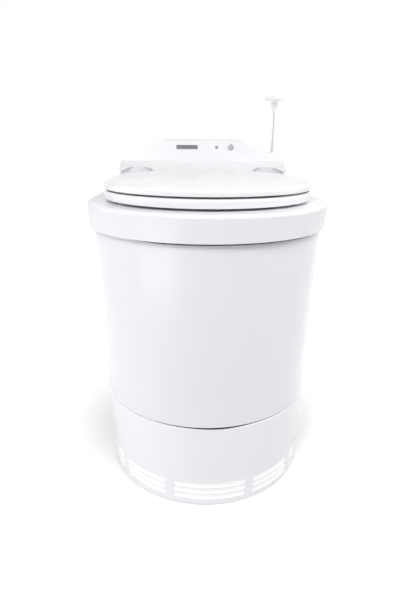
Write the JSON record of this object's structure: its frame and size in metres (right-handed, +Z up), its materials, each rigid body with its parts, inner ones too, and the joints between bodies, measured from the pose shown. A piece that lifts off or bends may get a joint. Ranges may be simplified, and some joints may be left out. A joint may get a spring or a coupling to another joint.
{
  "type": "incinerating toilet",
  "caption": "Waterless incinerating toilet: tapered round-fronted body, domed lid and seat, sloped control console, push-down flush rod and a slotted pull-off front cover over the ash pan.",
  "frame": {"origin": "on the floor, at the middle of the plan box that holds the collar and the rear exhaust spigot", "axes": "+Z up, -Y is the front that a user faces, +X is the side of the flush rod (the viewer's right from in front)"},
  "size_m": [0.421, 0.5873, 0.714],
  "materials": {
    "body_gloss": "glossy white moulding",
    "collar_gloss": "glossy white moulding",
    "console_gloss": "glossy white moulding",
    "seat_gloss": "glossy white moulding",
    "knob_gloss": "glossy white moulding",
    "grey_gloss": "glossy grey moulding",
    "screen_white": "matt white screen",
    "white_rubber": "white soft pads",
    "black_rubber": "black rubber",
    "steel_sheet": "plain zinc-plated sheet",
    "bowl_steel": "brushed stainless steel",
    "hot_steel": "heat-tinted stainless steel",
    "element_steel": "dull heat-proof tube",
    "gear_steel": "dull plated steel",
    "pin_steel": "turned steel",
    "spring_steel": "spring steel",
    "rod_chrome": "polished chrome",
    "display_glass": "grey glossy display window",
    "lamp_glass": "dark grey lens",
    "board_green": "circuit board",
    "insulation_wool": "ceramic wool",
    "catalyst_stone": "drilled ceramic block",
    "motor_black": "black painted casing",
    "impeller_black": "black plastic",
    "spigot_grey": "zinc-plated sheet",
    "inlet_black": "black plastic"
  },
  "bodies": {
    "body": {"outer_shell": "body_gloss", "base_plate": "steel_sheet", "rubber_feet": "black_rubber", "top_cover": "collar_gloss", "console": "console_gloss", "panel_bezel": "console_gloss", "display_window": "display_glass", "lamp_lens": "lamp_glass", "button_spring": "spring_steel", "control_board": "board_green", "hinge_pins": "pin_steel", "hinge_posts": "seat_gloss", "bowl": "bowl_steel", "bearing_plates": "steel_sheet", "mechanism_plate": "steel_sheet", "rod_bush": "knob_gloss", "rod_spring": "spring_steel", "chamber": "hot_steel", "insulation": "insulation_wool", "chamber_floor": "hot_steel", "chamber_hood": "hot_steel", "heating_element": "element_steel", "pan_frame": "steel_sheet", "exhaust_duct": "steel_sheet", "catalyst": "catalyst_stone", "fan_motor": "motor_black", "fan_casing": "spigot_grey", "exhaust_spigot": "spigot_grey", "mains_inlet": "inlet_black", "rear_screws": "pin_steel"},
    "seat": {"seat_ring": "seat_gloss", "seat_bumpers": "white_rubber"},
    "lid": {"lid": "seat_gloss", "lid_bumpers": "white_rubber"},
    "flush": {"flush_rod": "rod_chrome", "flush_knob": "knob_gloss", "rack_frame": "gear_steel", "rod_collar": "gear_steel"},
    "trap_left": {"flap_left": "bowl_steel", "shaft_left": "pin_steel", "sector_left": "gear_steel"},
    "trap_right": {"flap_right": "bowl_steel", "shaft_right": "pin_steel", "sector_right": "gear_steel"},
    "button": {"start_button": "grey_gloss"},
    "cover": {"front_cover": "body_gloss", "grille_screen": "screen_white"},
    "pan": {"ash_pan": "bowl_steel", "pan_handle": "pin_steel"},
    "fan": {"impeller": "impeller_black"}
  },
  "joints": [
    {"name": "lid_hinge", "type": "hinge", "parent": "body", "child": "lid", "pos_m": [0, 0.12281, 0.5365], "axis": [-1, 0, 0], "range_deg": [0, 98]},
    {"name": "seat_hinge", "type": "hinge", "parent": "body", "child": "seat", "pos_m": [0, 0.12281, 0.5365], "axis": [-1, 0, 0], "range_deg": [0, 96.1]},
    {"name": "flush_slide", "type": "slide", "parent": "body", "child": "flush", "axis": [0, 0, -1], "range_m": [0, 0.078], "stiffness_N_per_m": 150, "springref_m": -0.12, "deforming": ["rod_spring"]},
    {"name": "trap_left_hinge", "type": "hinge", "parent": "body", "child": "trap_left", "pos_m": [-0.086, -0.08319, 0.334], "axis": [0, 1, 0], "range_deg": [0, 79]},
    {"name": "trap_right_hinge", "type": "hinge", "parent": "body", "child": "trap_right", "pos_m": [0.086, -0.08319, 0.334], "axis": [0, -1, 0], "range_deg": [0, 79]},
    {"name": "button_slide", "type": "slide", "parent": "body", "child": "button", "axis": [0, 0.9135, -0.4067], "range_m": [0, 0.0025], "stiffness_N_per_m": 400, "springref_m": -0.002, "deforming": ["button_spring"]},
    {"name": "cover_slide", "type": "slide", "parent": "body", "child": "cover", "axis": [0, -1, 0], "range_m": [0, 0.3]},
    {"name": "pan_slide", "type": "slide", "parent": "body", "child": "pan", "axis": [0, -1, 0], "range_m": [0, 0.24]},
    {"name": "impeller_spin", "type": "hinge", "parent": "body", "child": "fan", "pos_m": [0, 0.18881, 0.2], "axis": [0, 1, 0], "continuous": true}
  ],
  "couplings": [
    {"joint": "seat_hinge", "follows": "lid_hinge", "ratio": 0.98},
    {"joint": "trap_left_hinge", "follows": "flush_slide", "rad_per_m": 17.544},
    {"joint": "trap_right_hinge", "follows": "flush_slide", "rad_per_m": 17.544},
    {"joint": "pan_slide", "follows": "cover_slide", "ratio": 0.8}
  ]
}
